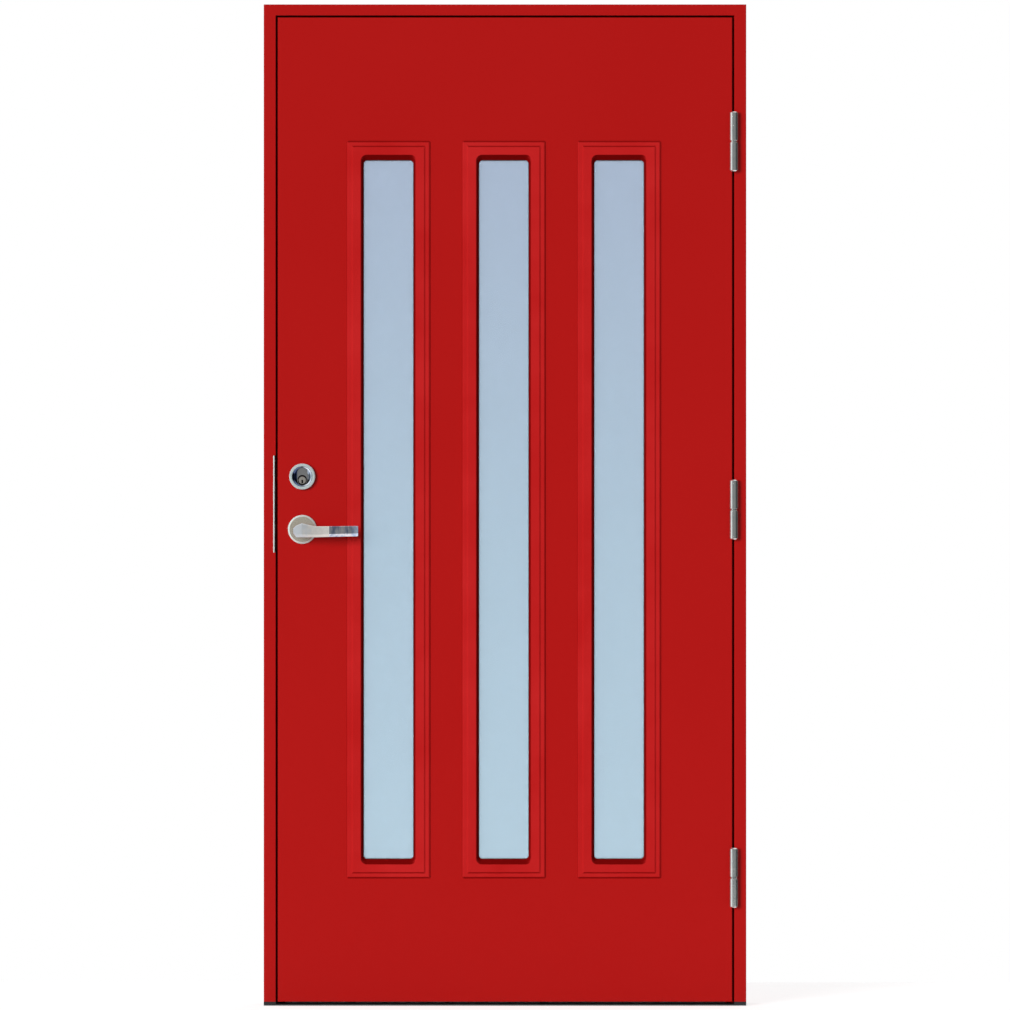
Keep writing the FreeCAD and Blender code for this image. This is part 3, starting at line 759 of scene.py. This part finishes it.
# Screws
screw_radius = 0.0038
screw_rise = 0.0005
recess_reach = 0.0021
recess_half_width = 0.00055
recess_depth = 0.0012
screw_steps = 48
hinge_screw_heights = (-0.048, -0.018, 0.018, 0.048)
hinge_screw_depths = (0.011, 0.024)
plate_screw_margin = 0.0085
strike_screw_drop = 0.021


def cross_outline(angle):
    """The cross-shaped recess in a screw's head, as a distance from its middle."""
    from_arm = (angle + math.pi / 4) % (math.pi / 2) - math.pi / 4
    across = recess_half_width / max(abs(math.sin(from_arm)), almost_nothing)
    return min(recess_reach / math.cos(from_arm), across)


def screw(bm, place, side):
    """One screw head on a face that looks along X, towards side: domed, with a tapered cross in it."""
    profile = [
        (lambda angle: screw_radius, -0.0002),
        (lambda angle: screw_radius * 0.92, screw_rise * 0.45),
        (lambda angle: screw_radius * 0.72, screw_rise * 0.85),
        (cross_outline, screw_rise),
        (lambda angle: cross_outline(angle) * 0.7, screw_rise - recess_depth),
    ]
    skin(bm, [
        [
            Vector((
                place.x + side * out,
                place.y + radius_at(angle) * math.cos(angle),
                place.z + radius_at(angle) * math.sin(angle),
            ))
            for angle in round_angles(screw_steps)
        ]
        for radius_at, out in profile
    ])


def screws(name, body, slot, places, side):
    """One piece with a screw head at each place."""
    bm = bmesh.new()
    for place in places:
        screw(bm, place, side)
    made = mesh_object(name, bm, [finishes[slot]])
    made.data.set_sharp_from_angle(angle=math.radians(40))
    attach(made, body)


def hinge_screw_places(face):
    """Four screws in each hinge leaf, in a zigzag."""
    places = []
    for level in ("bottom", "middle", "top"):
        middle = middle_of(f"{level}_hinge_leaf_half").z
        for i, height in enumerate(hinge_screw_heights):
            places.append(Vector((face, outer_face + hinge_screw_depths[i % 2], middle + height)))
    return places


def plate_screw_places(node, face, extra=()):
    """A screw near each end of a plate in the leaf's edge or opposite it, and more at the extra heights."""
    low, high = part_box(node)
    heights = (low.z + plate_screw_margin, *extra, high.z - plate_screw_margin)
    return [Vector((face, leaf_middle, height)) for height in heights]


def all_screws():
    screws("hinge_leaf_screws", "leaf", "hinge_steel", hinge_screw_places(leaf_right), 1)
    screws("hinge_frame_screws", "frame", "hinge_steel", hinge_screw_places(jamb_right), -1)
    strike_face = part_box("strike_plate")[1].x
    between = (spindle.z + middle_of("cylinder_ring").z) / 2 - strike_screw_drop
    strike = plate_screw_places("strike_plate", strike_face, (between,))
    screws("strike_screws", "frame", "hinge_steel", strike, 1)
    screws("forend_screws", "leaf", "hinge_steel", plate_screw_places("mortise_lock", leaf_left), -1)


# Camera, lights, floor
def camera():
    """The camera in front of the door, at right angles to it."""
    data = bpy.data.cameras.new("camera")
    data.lens = view_lens
    data.sensor_width = view_sensor
    data.clip_end = 200
    made = bpy.data.objects.new("camera", data)
    distance = view_width * view_lens / view_sensor
    made.location = (0, outer_face - distance, view_height)
    made.rotation_euler = (math.radians(90), 0, 0)
    bpy.context.scene.collection.objects.link(made)
    bpy.context.scene.camera = made


def key_light():
    """A soft sun whose level is that on a face that looks straight to the front."""
    data = bpy.data.lights.new("key", "SUN")
    direction = key_from.normalized()
    data.energy = key_level * math.pi / -direction.y
    data.angle = key_spread
    made = bpy.data.objects.new("key", data)
    made.visible_glossy = False
    made.rotation_euler = (-direction).to_track_quat("-Z", "Y").to_euler()
    bpy.context.scene.collection.objects.link(made)


def seen_directly(tree):
    """1 on rays from the camera, and on those rays that metal or glass sends on."""
    path = tree.node("ShaderNodeLightPath").outputs
    shown = tree.math("MAXIMUM", path["Is Camera Ray"], path["Is Glossy Ray"])
    shown = tree.math("MAXIMUM", shown, path["Is Transmission Ray"])
    return tree.math("MULTIPLY", shown, tree.math("LESS_THAN", path["Diffuse Depth"], 0.5))


def part_of(tree, direction, axis):
    """One part of a direction."""
    parts = tree.node("ShaderNodeSeparateXYZ")
    tree.link(direction, parts.inputs["Vector"])
    return parts.outputs[axis]


def room_brightness(tree, towards):
    """White to the camera and through glass. To metal, the room: white above, below and at the left,
    grey in front and dark at the right."""
    across = tree.vector("NORMALIZE", tree.vector("MULTIPLY", towards, (1, 1, 0)))
    aside = part_of(tree, across, "X")
    start, end = room_turn
    left = tree.spread(aside, room_left, room_front, -end, -start, smooth=True)
    right = tree.spread(aside, room_front, room_right, start, end, smooth=True)
    wall = tree.math("SUBTRACT", tree.math("ADD", left, right), room_front)
    level = tree.math("ABSOLUTE", part_of(tree, towards, "Z"))
    steep = tree.spread(level, 0.0, 1.0, *room_horizon, smooth=True)
    path = tree.node("ShaderNodeLightPath").outputs
    straight = tree.math("MAXIMUM", path["Is Camera Ray"], path["Is Transmission Ray"])
    return tree.math("MAXIMUM", straight, tree.math("MAXIMUM", wall, steep))


def fill_brightness(tree, towards):
    """The soft light: most from behind, where the key doesn't reach, and little from above and below."""
    around = tree.spread(part_of(tree, towards, "Y"), fill_level, fill_behind, *fill_turn, smooth=True)
    steep = tree.math("ABSOLUTE", part_of(tree, towards, "Z"))
    return tree.math("MULTIPLY", around, tree.spread(steep, 1.0, fill_above))


def surroundings():
    """The world: soft light for the surfaces, and what the camera, metal and glass see."""
    world = bpy.data.worlds.new("studio")
    bpy.context.scene.world = world
    world.use_nodes = True
    tree = Tree(world.node_tree)
    towards = tree.node("ShaderNodeTexCoord").outputs["Generated"]
    fill = tree.node("ShaderNodeBackground", Color=(1, 1, 1, 1))
    tree.link(fill_brightness(tree, towards), fill.inputs["Strength"])
    shown = tree.node("ShaderNodeBackground", Color=(1, 1, 1, 1))
    tree.link(room_brightness(tree, towards), shown.inputs["Strength"])
    mix = tree.node("ShaderNodeMixShader")
    tree.link(seen_directly(tree), mix.inputs["Fac"])
    tree.link(fill.outputs[0], mix.inputs[1])
    tree.link(shown.outputs[0], mix.inputs[2])
    tree.link(mix.outputs[0], world.node_tree.nodes["World Output"].inputs["Surface"])


def floor():
    """A pale floor that shows white and still takes the door's shadow."""
    finish = Finish("floor", Specular_IOR_Level=0.0, Roughness=0.9)
    finish.shader.inputs["Base Color"].default_value = (floor_shade, floor_shade, floor_shade, 1)
    glow = finish.node("ShaderNodeEmission", Strength=floor_glow)
    both = finish.node("ShaderNodeAddShader")
    mix = finish.node("ShaderNodeMixShader")
    finish.link(seen_directly(finish), mix.inputs["Fac"])
    finish.link(finish.shader.outputs[0], both.inputs[0])
    finish.link(glow.outputs[0], both.inputs[1])
    finish.link(finish.shader.outputs[0], mix.inputs[1])
    finish.link(both.outputs[0], mix.inputs[2])
    finish.link(mix.outputs[0], finish.tree.nodes["Material Output"].inputs["Surface"])
    bm = bmesh.new()
    corners = [(x, y) for y in (-floor_reach, floor_behind) for x in (-floor_reach, floor_reach)]
    near_left, near_right, far_left, far_right = [bm.verts.new((x, y, -floor_drop)) for x, y in corners]
    bm.faces.new((near_left, near_right, far_right, far_left))
    mesh_object("floor", bm, [finish.material])


finish_nodes()
levers()
barrel()
turning_plug()
all_screws()
camera()
key_light()
surroundings()
floor()
bpy.context.scene.view_settings.view_transform = "Standard"
